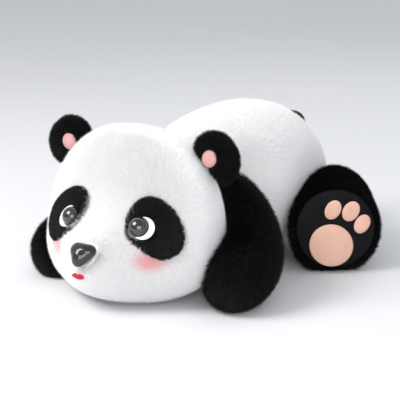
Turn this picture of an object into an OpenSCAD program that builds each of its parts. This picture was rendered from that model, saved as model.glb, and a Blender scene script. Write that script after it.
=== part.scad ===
// A plush panda lying on its belly: sewn plush covers over fibre stuffing, with moulded eyes and
// nose, satin soles and felt pieces. Millimetres, +Z up. The face looks along -Y, the panda's left
// is +X, and the origin is under the middle of the toy, on the surface that it lies on.

/* [Overall] */
// Length of the whole toy, from the nose to the rump
overall_length = 436; // [425:1:460]
// Thickness of the plush fabric on the head, torso and limbs
plush_wall = 4; // [3:0.5:5]
// Thickness of the shorter plush on ears and tail
short_wall = 2.5; // [2:0.5:3]
// Space between covers that move against each other
seam_gap = 0.8; // [0.6:0.1:1.5]

/* [Head] */
// Width of the head across the cheeks
head_width = 200; // [180:1:225]
// Height of the top of the head
head_height = 176; // [165:1:190]
// Height at which the head is widest
cheek_height = 58; // [50:1:70]
// From the middle of the head forward to the forehead
forehead_depth = 50; // [46:1:58]
// How far the muzzle stands out in front of the forehead
muzzle_depth = 36; // [28:1:40]
// Height of the middle of the muzzle
muzzle_height = 49; // [44:1:54]
// How fast the face leans back towards the crown
face_slope = 0.36; // [0.25:0.01:0.4]
// Width of the fabric strip that runs over the crown
gusset_width = 52; // [40:1:56]
// From the middle of the head back to the face that is sewn to the torso
neck_depth = 52; // [45:1:58]

/* [Torso] */
// Width of the torso
torso_width = 186; // [170:1:200]
// Height of the top of the back
torso_height = 171; // [155:1:182]
// Height at which the torso is widest
torso_belly_height = 72; // [60:1:85]
// From the widest part of the torso forward, before the neck cuts it off
torso_front = 196; // [190:1:215]
// From the widest part of the torso back to the rump
torso_rear = 124; // [118:1:140]

/* [Arms] */
// Diameter of the paw
paw_width = 90; // [80:1:96]
// Diameter of the arm where it is sewn to the torso
shoulder_width = 54; // [48:1:62]
// From the middle of the toy out to the middle of the paw
paw_spread = 114; // [108:1:120]

/* [Legs] */
// Diameter of the foot
foot_width = 103; // [92:1:110]
// Diameter of the thigh
thigh_width = 84; // [76:1:94]
// From the middle of the toy out to the middle of the sole
foot_spread = 148; // [142:1:154]
// Angle of the sole away from straight ahead
foot_turn = 38; // [30:1:48]
// Lean of the paw print on the sole
print_lean = 30; // [0:1:40]

/* [Ears and tail] */
// Width of an ear
ear_width = 55; // [48:1:60]
// Thickness of an ear
ear_depth = 17; // [14:1:20]
// Angle of an ear away from the top of the head
ear_lean = 45; // [40:1:50]
// Width of the tail
tail_width = 32; // [26:1:38]

/* [Face] */
// From the middle of the face out to an eye
eye_spread = 40; // [37:1:44]
// Height of the eyes
eye_height = 84; // [79:1:89]
// Diameter of an eye
eye_width = 19; // [16:1:22]
// Height of the nose
nose_height = 60; // [56:1:65]
// Width of the nose
nose_width = 29; // [25:1:32]
// Height of the mouth
mouth_height = 41; // [37:1:43]

/* [Hidden] */

white = [0.95, 0.94, 0.92];
black = [0.06, 0.06, 0.06];
fill = [0.9, 0.9, 0.88];
satin = [0.12, 0.12, 0.12];
salmon = [0.94, 0.71, 0.6];
pink = [0.9, 0.66, 0.66];
red = [0.8, 0.08, 0.2];
plastic = [0.2, 0.18, 0.17];

// The nose and the tail stand out further than the muzzle and the rump; the shift keeps the origin
// under the middle of the whole.
nose_reach = 2.5;
tail_shift = 2.3;
head_y = nose_reach + muzzle_depth + forehead_depth - overall_length / 2 - tail_shift;
neck_y = head_y + neck_depth;
torso_y = overall_length / 2 - torso_rear - tail_shift;
// The torso reaches the neck and the arms clear the cheeks when the toy is longer or the head wider:
// on the standard toy the neck is 171.5 in front of the torso's middle, and the head is 200 wide.
torso_forward = torso_front + torso_y - neck_y - 171.5;
cheek_shift = head_width / 2 - 100;
fill_gap = 0.3;

// ---- Vectors ----------------------------------------------------------------------------------

function unit(v) = v / norm(v);
function flip(v) = [-v.x, v.y, v.z];
// p moved to the side of the plane n * p = d that n points to, or away from it.
function above(p, n, d) = p + n * max(0, d - n * p);
function below(p, n, d) = p - n * max(0, n * p - d);
function steps(from, to, count) = [for (i = [0:count]) from + (to - from) * i / count];
function signed_pow(v, n) = sign(v) * pow(abs(v), n);
// Tips p about the line along X through the neck hinge, so that the face lifts by nod degrees.
function tipped(v, nod) = [v.x, v.y * cos(nod) - v.z * sin(nod), v.z * cos(nod) + v.y * sin(nod)];

// ---- Head and torso surfaces --------------------------------------------------------------------

// Where the direction u from the middle of a rounded form meets its surface. reach is
// [side, front, back, up, down] and n is 2 for an ellipsoid, more for a squarer form.
function rounded(u, reach, n) =
    let (ry = u.y < 0 ? reach[1] : reach[2], rz = u.z > 0 ? reach[3] : reach[4])
    let (sum = pow(abs(u.x) / reach[0], n) + pow(abs(u.y) / ry, n) + pow(abs(u.z) / rz, n))
    u * pow(sum, -1 / n);

head_square = 2.3;
head_flat = 4;
head_reach = [head_width / 2, forehead_depth, 80, head_height - cheek_height, cheek_height + head_flat];
head_middle = [0, head_y, cheek_height];
muzzle_size = [42, 35];
function muzzle(x, z) =
    muzzle_depth * exp(-pow(x / muzzle_size.x, 2) - pow((z - muzzle_height) / muzzle_size.y, 2));
function head_point(u, inset) =
    let (p = head_middle + rounded(u, head_reach - inset * [1, 1, 1, 1, 1], head_square))
    let (y = u.y < 0 ? head_y + (p.y - head_y) * front_scale(p.z) - muzzle(p.x, p.z) : p.y)
    [p.x, min(y, neck_y - inset), max(p.z, inset)];
function front_scale(z) = 1 - face_slope * (z - cheek_height) / forehead_depth;

// The front of the face at a side position and a height, out from the surface by out.
function face_point(x, z, out) =
    let (rz = z > cheek_height ? head_reach[3] : head_reach[4])
    let (sum = pow(abs(x) / head_reach[0], head_square) + pow(abs(z - cheek_height) / rz, head_square))
    let (depth = forehead_depth * front_scale(z) * pow(max(0, 1 - sum), 1 / head_square))
    let (y = head_y - depth - muzzle(x, z))
    [x, y, z] + (out == 0 ? [0, 0, 0] : out * face_normal(x, z));
function face_normal(x, z) =
    let (dx = face_point(x + 1, z, 0) - face_point(x - 1, z, 0))
    let (dz = face_point(x, z + 1, 0) - face_point(x, z - 1, 0))
    unit(cross(dx, dz));

// The face lifts about a line along X at the top of the neck.
head_lift = 10;
neck_hinge = [0, neck_y, 124];
// p pushed out of the head, which is lifted by nod degrees; behind the rim of the neck it is pushed
// back over the rim instead.
rim_facing = unit([1, 1, 0]);
rim_plane = rim_facing * [head_width * 0.41, neck_y, 0];
function off_head(p, nod, room) =
    let (q = tipped(p - neck_hinge, nod) + neck_hinge - head_middle, n = head_square)
    let (reach = head_reach + room * [1, 1, 1, 1, 1])
    let (ry = q.y < 0 ? reach[1] : reach[2], rz = q.z > 0 ? reach[3] : reach[4])
    let (depth = pow(pow(abs(q.x) / reach[0], n) + pow(abs(q.y) / ry, n) + pow(abs(q.z) / rz, n), 1 / n))
    let (out = tipped(q / max(0.2, depth) + head_middle - neck_hinge, -nod) + neck_hinge)
    let (back = above(p, rim_facing, rim_plane + room))
    depth >= 1 ? p : norm(out - p) < norm(back - p) ? out : back;

// Seam planes on the left side of the torso: the way they face and how deep they cut.
shoulder_facing = unit([0.82, -0.3, 0.48]);
hip_facing = unit([0.985, 0.12, 0.1]);
seam_depth = 7;
torso_square = 2.1;
torso_reach = [torso_width / 2, torso_forward, torso_rear, torso_height - torso_belly_height,
               torso_belly_height + 4];
torso_middle = [0, torso_y, torso_belly_height];
function torso_limit(n) =
    let (a = torso_square / (torso_square - 1))
    let (ry = n.y < 0 ? torso_reach[1] : torso_reach[2], rz = n.z > 0 ? torso_reach[3] : torso_reach[4])
    n * torso_middle + pow(pow(torso_reach[0] * abs(n.x), a) + pow(ry * abs(n.y), a)
                           + pow(rz * abs(n.z), a), 1 / a);
shoulder_plane = torso_limit(shoulder_facing) - seam_depth;
hip_plane = torso_limit(hip_facing) - seam_depth;
function torso_point(u, inset) =
    let (p = torso_middle + rounded(u, torso_reach - inset * [1, 1, 1, 1, 1], torso_square))
    let (a = below(below(p, shoulder_facing, shoulder_plane - inset), flip(shoulder_facing),
                   shoulder_plane - inset))
    let (b = below(below(a, hip_facing, hip_plane - inset), flip(hip_facing), hip_plane - inset))
    [b.x, max(b.y, neck_y + seam_gap + inset), max(b.z, inset)];

// Directions round the X axis, across from -90 at the right to 90 at the left.
function about_x(across, round) = [sin(across), cos(across) * cos(round), cos(across) * sin(round)];
// Directions round the Y axis, along from -90 at the front to 90 at the back; round is 0 at the top.
function about_y(along, round) = [cos(along) * sin(round), sin(along), cos(along) * cos(round)];

// ---- Solids from grids of points ----------------------------------------------------------------

function flat_list(rows) = [for (row = rows) each row];
function grid_faces(rows, columns, first, wrap, out) =
    [for (i = [0:rows - 2]) for (j = [0:columns - (wrap ? 1 : 2)])
        let (k = (j + 1) % columns, a = first + i * columns + j, b = first + i * columns + k)
        let (c = a + columns, d = b + columns)
        each (out ? [[a, d, b], [a, c, d]] : [[a, b, d], [a, d, c]])];
function rim_faces(edge, depth, wrap, out) =
    [for (j = [0:len(edge) - (wrap ? 1 : 2)])
        let (a = edge[j], b = edge[(j + 1) % len(edge)])
        each (out ? [[a, b + depth, b], [a, a + depth, b + depth]]
                  : [[a, b, b + depth], [a, b + depth, a + depth]])];

// A thick panel between an outer and an inner grid of points. wrap is true where the columns go
// all the way round; a first or last row that is one point needs no rim.
module panel(outer, inner, wrap) {
    rows = len(outer);
    columns = len(outer[0]);
    count = rows * columns;
    last = (rows - 1) * columns;
    closed_start = norm(outer[0][0] - outer[0][1]) < 0.001;
    closed_end = norm(outer[rows - 1][0] - outer[rows - 1][1]) < 0.001;
    polyhedron(concat(flat_list(outer), flat_list(inner)), concat(
        grid_faces(rows, columns, 0, wrap, true),
        grid_faces(rows, columns, count, wrap, false),
        closed_start ? [] : rim_faces([for (j = [0:columns - 1]) j], count, wrap, false),
        closed_end ? [] : rim_faces([for (j = [0:columns - 1]) last + j], count, wrap, true),
        wrap ? [] : rim_faces([for (i = [0:rows - 1]) i * columns], count, false, true),
        wrap ? [] : rim_faces([for (i = [0:rows - 1]) i * columns + columns - 1], count, false, false)));
}

// A closed solid from a grid whose first and last rows are single points.
module solid(grid) {
    polyhedron(flat_list(grid), grid_faces(len(grid), len(grid[0]), 0, true, true));
}

// Stands its children on the face at a side position and a height, +Z out of the face.
module on_face(x, z, out) {
    n = face_normal(x, z);
    translate(face_point(x, z, out)) rotate([0, acos(n.z), atan2(n.y, n.x)]) children();
}

// ---- Head -----------------------------------------------------------------------------------------

stem_width = 5;
washer = [16, 1.5];
gusset_angle = asin(gusset_width / head_width);
module head_panel(from, to, count) {
    turns = steps(0, 350, 35);
    rows = steps(from, to, count);
    panel([for (s = rows) [for (t = turns) head_point(about_x(s, t), 0)]],
          [for (s = rows) [for (t = turns) head_point(about_x(s, t), plush_wall)]], true);
}
// Room for the stem of an eye or of the nose, and behind the fabric for its washer.
module stem_room(x, z, room) {
    on_face(x, z, 0) {
        translate([0, 0, -plush_wall - 12]) cylinder(h = 24, d = stem_width + 2 * room, $fn = 48);
        translate([0, 0, -plush_wall - 12]) cylinder(h = 11.6, d = washer[0] + 4 * room, $fn = 48);
    }
}
module head_left_panel() {
    color(white) difference() {
        head_panel(gusset_angle, 90, 8);
        stem_room(eye_spread, eye_height, 0.3);
    }
}
module head_right_panel() {
    color(white) difference() {
        head_panel(-90, -gusset_angle, 8);
        mirror([1, 0, 0]) stem_room(eye_spread, eye_height, 0.3);
    }
}
module head_gusset() {
    color(white) difference() {
        head_panel(-gusset_angle, gusset_angle, 4);
        stem_room(0, nose_height, 0.3);
    }
}
module head_stuffing() {
    rows = concat(steps(-90, -gusset_angle, 8), steps(-gusset_angle / 2, gusset_angle / 2, 2),
                  steps(gusset_angle, 90, 8));
    color(fill) difference() {
        solid([for (s = rows) [for (t = steps(0, 350, 35)) head_point(about_x(s, t), plush_wall + fill_gap)]]);
        for (x = [-eye_spread, eye_spread]) stem_room(x, eye_height, 0.5);
        stem_room(0, nose_height, 0.5);
    }
}

// ---- Torso ----------------------------------------------------------------------------------------

belly_angle = 142;
module torso_panel(from, to, count) {
    rows = steps(-90, 90, 20);
    turns = steps(from, to, count);
    panel([for (s = rows) [for (t = turns) torso_point(about_y(s, t), 0)]],
          [for (s = rows) [for (t = turns) torso_point(about_y(s, t), plush_wall)]], false);
}
module torso_left_panel() { color(white) torso_panel(0, belly_angle, 13); }
module torso_right_panel() { color(white) torso_panel(-belly_angle, 0, 13); }
module belly_panel() { color(white) torso_panel(belly_angle, 360 - belly_angle, 6); }
module torso_stuffing() {
    turns = concat(steps(0, belly_angle, 13), steps(belly_angle + 76 / 6, 360 - belly_angle, 5),
                   steps(360 - belly_angle * 12 / 13, 360 - belly_angle / 13, 11));
    color(fill) solid([for (s = steps(-90, 90, 20)) [for (t = turns)
        torso_point(about_y(s, t), plush_wall + fill_gap)]]);
}

// ---- Limbs ----------------------------------------------------------------------------------------

// A limb is [sewn end, bend, free end, [radius at both ends], [squareness of both ends],
//            cross direction, the way its seam faces, how far out the seam is, beside the head].
function bow(limb, u) = pow(1 - u, 2) * limb[0] + 2 * u * (1 - u) * limb[1] + u * u * limb[2];
function bow_way(limb, u) = unit((1 - u) * (limb[1] - limb[0]) + u * (limb[2] - limb[1]));
function limb_point(limb, s, t, inset) =
    let (n = s < 0 ? limb[4][0] : limb[4][1], length = norm(limb[2] - limb[0]))
    let (u = 0.5 + (0.5 - inset / length) * signed_pow(sin(s), 2 / n))
    let (r = pow(max(0, cos(s)), 2 / n) * (limb[3][0] + (limb[3][1] - limb[3][0]) * u - inset))
    let (way = bow_way(limb, u), e1 = unit(limb[5] - (limb[5] * way) * way), e2 = cross(way, e1))
    let (p = above(bow(limb, u) + r * (cos(t) * e1 + sin(t) * e2), limb[6], limb[7] + inset))
    let (q = limb[8] ? off_heads(p, inset + head_room) : p)
    [q.x, q.y, max(q.z, inset)];
head_room = 1.6;
function off_heads(p, room, nod = 0) =
    nod > head_lift ? p : off_heads(off_head(p, nod, room), room, nod + 5);

module limb_panel(limb, rows, from, to, count) {
    wrap = to - from == 360;
    turns = wrap ? steps(from, to - 360 / count, count - 1) : steps(from, to, count);
    panel([for (s = rows) [for (t = turns) limb_point(limb, s, t, 0)]],
          [for (s = rows) [for (t = turns) limb_point(limb, s, t, plush_wall)]], wrap);
}
module limb_stuffing(limb, rows, from, count) {
    color(fill) solid([for (s = rows) [for (t = steps(from, from + 360 - 360 / count, count - 1))
        limb_point(limb, s, t, plush_wall + fill_gap)]]);
}

// The left arm is bent further out than the right one, which is modelled on the left and mirrored.
function arm(bend, spread, reach) =
    [[60, neck_y + 26, 120], bend, [spread + cheek_shift, neck_y - reach, paw_width / 2 - 12],
     [shoulder_width / 2, paw_width / 2], [2.6, 2.7], [1, 0.3, 0.4],
     shoulder_facing, shoulder_plane + seam_gap, true];
wide_arm = arm([125 + cheek_shift, neck_y + 24, 30], paw_spread, 78);
close_arm = arm([108 + cheek_shift, neck_y + 30, 4], paw_spread - 10, 66);
arm_rows = steps(-90, 90, 16);
module arm_outer_panel_left() { color(black) limb_panel(wide_arm, arm_rows, -90, 90, 9); }
module arm_inner_panel_left() { color(black) limb_panel(wide_arm, arm_rows, 90, 270, 9); }
module arm_stuffing_left() { limb_stuffing(wide_arm, arm_rows, -90, 18); }
module arm_outer_panel_right() {
    color(black) mirror([1, 0, 0]) limb_panel(close_arm, arm_rows, -90, 90, 9);
}
module arm_inner_panel_right() {
    color(black) mirror([1, 0, 0]) limb_panel(close_arm, arm_rows, 90, 270, 9);
}
module arm_stuffing_right() { mirror([1, 0, 0]) limb_stuffing(close_arm, arm_rows, -90, 18); }

sole_facing = [sin(foot_turn), -cos(foot_turn), 0.04];
sole_middle = [foot_spread, torso_y - 52, foot_width / 2 - 6];
leg = [[84, torso_y + 80, 68], sole_middle - sole_facing * 48, sole_middle,
       [thigh_width / 2, foot_width / 2], [2.3, 8], [0, 0, 1],
       hip_facing, hip_plane + seam_gap, false];
sole_edge = 56;
leg_rows = steps(-90, sole_edge, 13);
sole_rows = concat(steps(sole_edge, 86, 3), [90]);
module leg_outer_panel_left() { color(black) limb_panel(leg, leg_rows, -180, 0, 10); }
module leg_inner_panel_left() { color(black) limb_panel(leg, leg_rows, 0, 180, 10); }
module leg_stuffing_left() { limb_stuffing(leg, concat(leg_rows, [66, 76, 86, 90]), -180, 20); }
module sole_left() { color(satin) limb_panel(leg, sole_rows, -180, 180, 20); }
module leg_outer_panel_right() { mirror([1, 0, 0]) leg_outer_panel_left(); }
module leg_inner_panel_right() { mirror([1, 0, 0]) leg_inner_panel_left(); }
module leg_stuffing_right() { mirror([1, 0, 0]) leg_stuffing_left(); }
module sole_right() { mirror([1, 0, 0]) sole_left(); }

// The paw print: [across, up, width, height] on the sole, for a foot of 98 mm.
pad_wall = 1.2;
main_pad = [2.5, -14.5, 49, 46];
toe_pads = [[-16, 20, 17, 22], [2, 28, 18, 23], [20, 22, 16.5, 22]];
module print_pad(spot) {
    size = foot_width / 98;
    color(salmon) translate(sole_middle + unit(sole_facing) * 0.4)
        rotate([0, acos(unit(sole_facing).z), atan2(sole_facing.y, sole_facing.x)])
            rotate([0, 0, 90 - print_lean]) translate([spot[0] * size, spot[1] * size, 0])
                scale([spot[2] * size / 2, spot[3] * size / 2, 1]) cylinder(h = pad_wall, r = 1, $fn = 64);
}
module main_pad_left() { print_pad(main_pad); }
module front_toe_pad_left() { print_pad(toe_pads[0]); }
module middle_toe_pad_left() { print_pad(toe_pads[1]); }
module rear_toe_pad_left() { print_pad(toe_pads[2]); }
module main_pad_right() { mirror([1, 0, 0]) main_pad_left(); }
module front_toe_pad_right() { mirror([1, 0, 0]) front_toe_pad_left(); }
module middle_toe_pad_right() { mirror([1, 0, 0]) middle_toe_pad_left(); }
module rear_toe_pad_right() { mirror([1, 0, 0]) rear_toe_pad_left(); }

// ---- Ears and tail --------------------------------------------------------------------------------

// A pouch is [root, up, front, [width, depth, height], how far its middle is above the root].
// s runs from -90 at the back to 90 at the front.
function pouch_point(pouch, s, t, inset) =
    let (across = cross(pouch[1], pouch[2]))
    let (p = rounded([cos(s) * cos(t), sin(s), cos(s) * sin(t)],
                     [pouch[3][0] / 2, pouch[3][1] / 2, pouch[3][1] / 2, pouch[3][2] / 2, pouch[3][2] / 2]
                     - inset * [1, 1, 1, 1, 1], 2.2))
    pouch[0] + p.x * across + p.y * pouch[2] + max(p.z + pouch[4], inset) * pouch[1];
module pouch_panel(pouch, from, to, count) {
    rows = steps(from, to, count);
    turns = steps(0, 345, 23);
    panel([for (s = rows) [for (t = turns) pouch_point(pouch, s, t, 0)]],
          [for (s = rows) [for (t = turns) pouch_point(pouch, s, t, short_wall)]], true);
}

ear_up = [sin(ear_lean), 0, cos(ear_lean)];
ear_front = unit([-0.04 * cos(ear_lean), -1, 0.04 * sin(ear_lean)]);
ear_gap = 3.4;
ear_root = head_point(unit(ear_up + [0, 0.17, 0]), 0) + ear_up * ear_gap;
ear = [ear_root, ear_up, ear_front, [ear_width, ear_depth, ear_width - 2], 10];
module ear_front_left() { color(black) pouch_panel(ear, 0, 90, 6); }
module ear_back_left() { color(black) pouch_panel(ear, -90, 0, 6); }
module ear_stuffing_left() {
    color(fill) solid([for (s = steps(-90, 90, 12)) [for (t = steps(0, 340, 17))
        pouch_point(ear, s, t, short_wall + fill_gap)]]);
}
// A thin piece that lies on the front of the ear.
module ear_lining_left() {
    lining = [8.5, 9];
    spot = [-2.5, 0];
    front = [for (k = [0.01, 0.35, 0.7, 1]) [for (t = steps(342, 0, 19))
        let (x = spot.x + k * lining.x * cos(t), z = spot.y + k * lining.y * sin(t))
        let (y = ear_depth / 2 * pow(1 - pow(norm([x, z]) * 2 / ear_width, 2.2), 1 / 2.2))
        ear_root + x * cross(ear_up, ear_front) + (z + ear[4]) * ear_up + (y + 1.1) * ear_front]];
    back = [for (row = front) [for (p = row) p - 0.8 * ear_front]];
    color(pink) plate(front, back);
}
module ear_front_right() { mirror([1, 0, 0]) ear_front_left(); }
module ear_back_right() { mirror([1, 0, 0]) ear_back_left(); }
module ear_stuffing_right() { mirror([1, 0, 0]) ear_stuffing_left(); }
module ear_lining_right() { mirror([1, 0, 0]) ear_lining_left(); }

tail_up = unit([0, 112, 50]);
tail_gap = 3.2;
tail = [torso_point(tail_up, 0) + tail_up * tail_gap, tail_up, cross([-1, 0, 0], tail_up),
        [tail_width, tail_width * 0.8, tail_width], 8];
module tail_upper_panel() { color(black) pouch_panel(tail, -90, 0, 6); }
module tail_lower_panel() { color(black) pouch_panel(tail, 0, 90, 6); }
module tail_stuffing() {
    color(fill) solid([for (s = steps(-90, 90, 10)) [for (t = steps(0, 340, 17))
        pouch_point(tail, s, t, short_wall + fill_gap)]]);
}

// ---- Face -----------------------------------------------------------------------------------------

// A thin solid between two grids of rings that start round a middle and grow outward.
module plate(front, back) {
    rows = len(front);
    columns = len(front[0]);
    count = rows * columns;
    turns = [for (j = [0:columns - 1]) j];
    polyhedron(concat(flat_list(front), flat_list(back)), concat(
        grid_faces(rows, columns, 0, true, true), grid_faces(rows, columns, count, true, false),
        [[for (j = turns) j]], [[for (j = turns) count + columns - 1 - j]],
        rim_faces([for (j = turns) count - columns + j], count, true, true)));
}
// A piece of fabric on the face; rings hold [across, up] outlines that grow outward.
module face_piece(rings, from, to) {
    plate([for (ring = rings) [for (p = ring) face_point(p.x, p.y, to)]],
          [for (ring = rings) [for (p = ring) face_point(p.x, p.y, from)]]);
}

patch_wall = 1.6;
patch_out = 0.7;
patch_spot = [53, 84];
patch_size = [32, 21.5];
patch_lean = 47;
// A bean that leans outward at the bottom; the hollow of the bean faces the nose.
function patch_ring(k) = [for (t = steps(350, 0, 35))
    let (hollow = 1 - 0.2 * exp(-pow((t - 285) / 30, 2)))
    let (long = patch_size[0] * k * hollow * cos(t), wide = patch_size[1] * k * hollow * sin(t))
    [patch_spot.x + long * sin(patch_lean) + wide * cos(patch_lean),
     patch_spot.y - long * cos(patch_lean) + wide * sin(patch_lean)]];
module eye_patch_left() {
    color(black) difference() {
        face_piece([for (k = [0.02, 0.25, 0.5, 0.75, 1]) patch_ring(k)], patch_out, patch_out + patch_wall);
        on_face(eye_spread, eye_height, -4) cylinder(h = 12, d = stem_width + 0.6, $fn = 48);
    }
}
module eye_patch_right() { mirror([1, 0, 0]) eye_patch_left(); }

felt_wall = 0.8;
felt_out = patch_out + patch_wall + 1.2;
eye_out = patch_out + patch_wall + 1.6;
module eye_felt_left() {
    color(white) on_face(eye_spread, eye_height, felt_out) difference() {
        rotate([0, 0, 75]) translate([5, 0, 0]) cylinder(h = felt_wall, d = eye_width + 4, $fn = 96);
        translate([0, 0, -1]) cylinder(h = 4, d = eye_width + 2, $fn = 96);
    }
}
module eye_felt_right() { mirror([1, 0, 0]) eye_felt_left(); }
// A domed button with a flat back and a stem that goes through the fabric.
module button(out, radius, dome) {
    stem = out + plush_wall + 3;
    rotate_extrude($fn = 64) union() {
        intersection() {
            scale([radius, dome]) circle(r = 1, $fn = 64);
            square([radius, dome]);
        }
        translate([0, -stem]) square([stem_width / 2, stem + 1]);
    }
}
module ring_washer() {
    rotate_extrude($fn = 64) translate([stem_width / 2 + 0.1, 0])
        square([washer[0] / 2 - stem_width / 2, washer[1]]);
}
module eye_left() {
    color(plastic) on_face(eye_spread, eye_height, eye_out) button(eye_out, eye_width / 2, eye_width * 0.42);
}
module eye_right() { mirror([1, 0, 0]) eye_left(); }
module eye_washer_left() {
    color(plastic) on_face(eye_spread, eye_height, -plush_wall - washer[1] - 0.9) ring_washer();
}
module eye_washer_right() { mirror([1, 0, 0]) eye_washer_left(); }

nose_out = 1.2;
nose_depth = 9.5;
module nose() {
    corner = 7.5;
    side = nose_width / 2 - corner;
    color(plastic) on_face(0, nose_height, nose_out) {
        difference() {
            hull() for (spot = [[-4.2, side], [-4.2, -side], [6, 0]])
                translate([spot.x, spot.y, 0]) scale([1, 1, nose_depth / corner]) sphere(r = corner, $fn = 32);
            translate([0, 0, -50]) cube(100, center = true);
        }
        translate([0, 0, -nose_out - plush_wall - 3]) cylinder(h = nose_out + plush_wall + 4,
                                                              d = stem_width, $fn = 48);
    }
}
module nose_washer() {
    color(plastic) on_face(0, nose_height, -plush_wall - washer[1] - 0.9) ring_washer();
}

// Lips: a soft bow, higher at both sides of the middle.
function lip_ring(k) = [for (t = steps(0, 345, 23))
    [-7 * k * cos(t), mouth_height + k * (3.2 * sin(t) - (sin(t) > 0 ? 1.4 * pow(cos(t * 2), 8) * sin(t) : 0))]];
module mouth() {
    color(red) face_piece([for (k = [0.05, 0.5, 1]) lip_ring(k)], 0.7, 1.9);
}

head_left_panel();
head_gusset();
head_right_panel();
head_stuffing();
torso_left_panel();
torso_right_panel();
belly_panel();
torso_stuffing();
arm_outer_panel_left();
arm_inner_panel_left();
arm_stuffing_left();
arm_outer_panel_right();
arm_inner_panel_right();
arm_stuffing_right();
leg_outer_panel_left();
leg_inner_panel_left();
leg_stuffing_left();
sole_left();
main_pad_left();
front_toe_pad_left();
middle_toe_pad_left();
rear_toe_pad_left();
leg_outer_panel_right();
leg_inner_panel_right();
leg_stuffing_right();
sole_right();
main_pad_right();
front_toe_pad_right();
middle_toe_pad_right();
rear_toe_pad_right();
ear_front_left();
ear_back_left();
ear_lining_left();
ear_stuffing_left();
ear_front_right();
ear_back_right();
ear_lining_right();
ear_stuffing_right();
tail_upper_panel();
tail_lower_panel();
tail_stuffing();
eye_patch_left();
eye_felt_left();
eye_left();
eye_washer_left();
eye_patch_right();
eye_felt_right();
eye_right();
eye_washer_right();
nose();
nose_washer();
mouth();
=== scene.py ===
"""The looks of the plush panda: stuffed skins, plush pile, satin soles, felt, eyes, nose and mouth.

All lengths below are millimetres until they reach a mesh. The surfaces follow the same formulas as
the sewn covers of the CAD model, so that every piece sits where its solid is.
"""
import math

import bpy
import numpy as np
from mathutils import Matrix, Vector
from mathutils.kdtree import KDTree


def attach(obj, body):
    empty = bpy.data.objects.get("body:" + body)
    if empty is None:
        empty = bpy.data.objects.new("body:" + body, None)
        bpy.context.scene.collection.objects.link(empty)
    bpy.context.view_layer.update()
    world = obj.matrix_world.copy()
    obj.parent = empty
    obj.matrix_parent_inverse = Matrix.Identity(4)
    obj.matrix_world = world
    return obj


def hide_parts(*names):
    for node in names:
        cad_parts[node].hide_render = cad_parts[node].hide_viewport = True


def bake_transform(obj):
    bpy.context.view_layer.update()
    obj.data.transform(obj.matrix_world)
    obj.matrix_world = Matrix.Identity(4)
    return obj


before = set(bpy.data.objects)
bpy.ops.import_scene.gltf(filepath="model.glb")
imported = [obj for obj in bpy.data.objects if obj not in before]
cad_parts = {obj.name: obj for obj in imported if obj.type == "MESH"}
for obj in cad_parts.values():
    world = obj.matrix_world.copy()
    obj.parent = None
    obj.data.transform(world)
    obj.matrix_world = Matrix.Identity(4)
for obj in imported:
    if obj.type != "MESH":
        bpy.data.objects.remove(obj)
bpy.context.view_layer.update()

MM = 0.001

# ---- Sizes, as in the CAD model ---------------------------------------------------------------

head_width, head_height, cheek_height = 200, 176, 58
forehead_depth, muzzle_depth, muzzle_height, face_slope = 50, 36, 49, 0.36
torso_width, torso_height, torso_belly_height, torso_front, torso_rear = 186, 171, 72, 196, 124
paw_width, shoulder_width, paw_spread = 90, 54, 114
foot_width, thigh_width, foot_spread, foot_turn, print_lean = 103, 84, 148, 38, 30
ear_width, ear_depth, ear_lean, tail_width = 55, 17, 45, 32
eye_spread, eye_height, eye_width = 40, 84, 19
nose_height, nose_width, mouth_height = 60, 29, 41
head_y, neck_y, torso_y = -131.8, -79.8, 91.7
seam_gap = 0.8


def unit(v):
    v = np.asarray(v, float)
    return v / np.linalg.norm(v, axis=-1, keepdims=True)


def flip(v):
    return np.asarray(v, float) * [-1, 1, 1]


def above(p, n, d):
    return p + n * np.maximum(0, d - p @ n)[..., None]


def below(p, n, d):
    return p - n * np.maximum(0, p @ n - d)[..., None]


def rounded(u, reach, n):
    ry = np.where(u[..., 1] < 0, reach[1], reach[2])
    rz = np.where(u[..., 2] > 0, reach[3], reach[4])
    total = (np.abs(u[..., 0]) / reach[0]) ** n + (np.abs(u[..., 1]) / ry) ** n
    total = total + (np.abs(u[..., 2]) / rz) ** n
    return u * total[..., None] ** (-1 / n)


HEAD_SQUARE = 2.3
head_reach = np.array([head_width / 2, forehead_depth, 80, head_height - cheek_height,
                       cheek_height + 4], float)
head_middle = np.array([0, head_y, cheek_height])


def muzzle(x, z):
    return muzzle_depth * np.exp(-(x / 42) ** 2 - ((z - muzzle_height) / 35) ** 2)


def front_scale(z):
    return 1 - face_slope * (z - cheek_height) / forehead_depth


def head_point(u, inset):
    p = head_middle + rounded(u, head_reach - inset, HEAD_SQUARE)
    y = np.where(u[..., 1] < 0,
                 head_y + (p[..., 1] - head_y) * front_scale(p[..., 2]) - muzzle(p[..., 0], p[..., 2]),
                 p[..., 1])
    return np.stack([p[..., 0], np.minimum(y, neck_y - inset), np.maximum(p[..., 2], inset)], -1)


def face_point(x, z, out=0.0):
    x, z = np.asarray(x, float), np.asarray(z, float)
    rz = np.where(z > cheek_height, head_reach[3], head_reach[4])
    total = (np.abs(x) / head_reach[0]) ** HEAD_SQUARE + (np.abs(z - cheek_height) / rz) ** HEAD_SQUARE
    depth = forehead_depth * front_scale(z) * np.maximum(0, 1 - total) ** (1 / HEAD_SQUARE)
    p = np.stack([x, head_y - depth - muzzle(x, z), z], -1)
    return p if np.ndim(out) == 0 and out == 0 else p + np.asarray(out)[..., None] * face_normal(x, z)


def face_normal(x, z):
    dx = face_point(x + 1, z) - face_point(x - 1, z)
    dz = face_point(x, z + 1) - face_point(x, z - 1)
    return unit(np.cross(dx, dz))


TORSO_SQUARE = 2.1
torso_reach = np.array([torso_width / 2, torso_front, torso_rear, torso_height - torso_belly_height,
                        torso_belly_height + 4], float)
torso_middle = np.array([0, torso_y, torso_belly_height])


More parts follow.
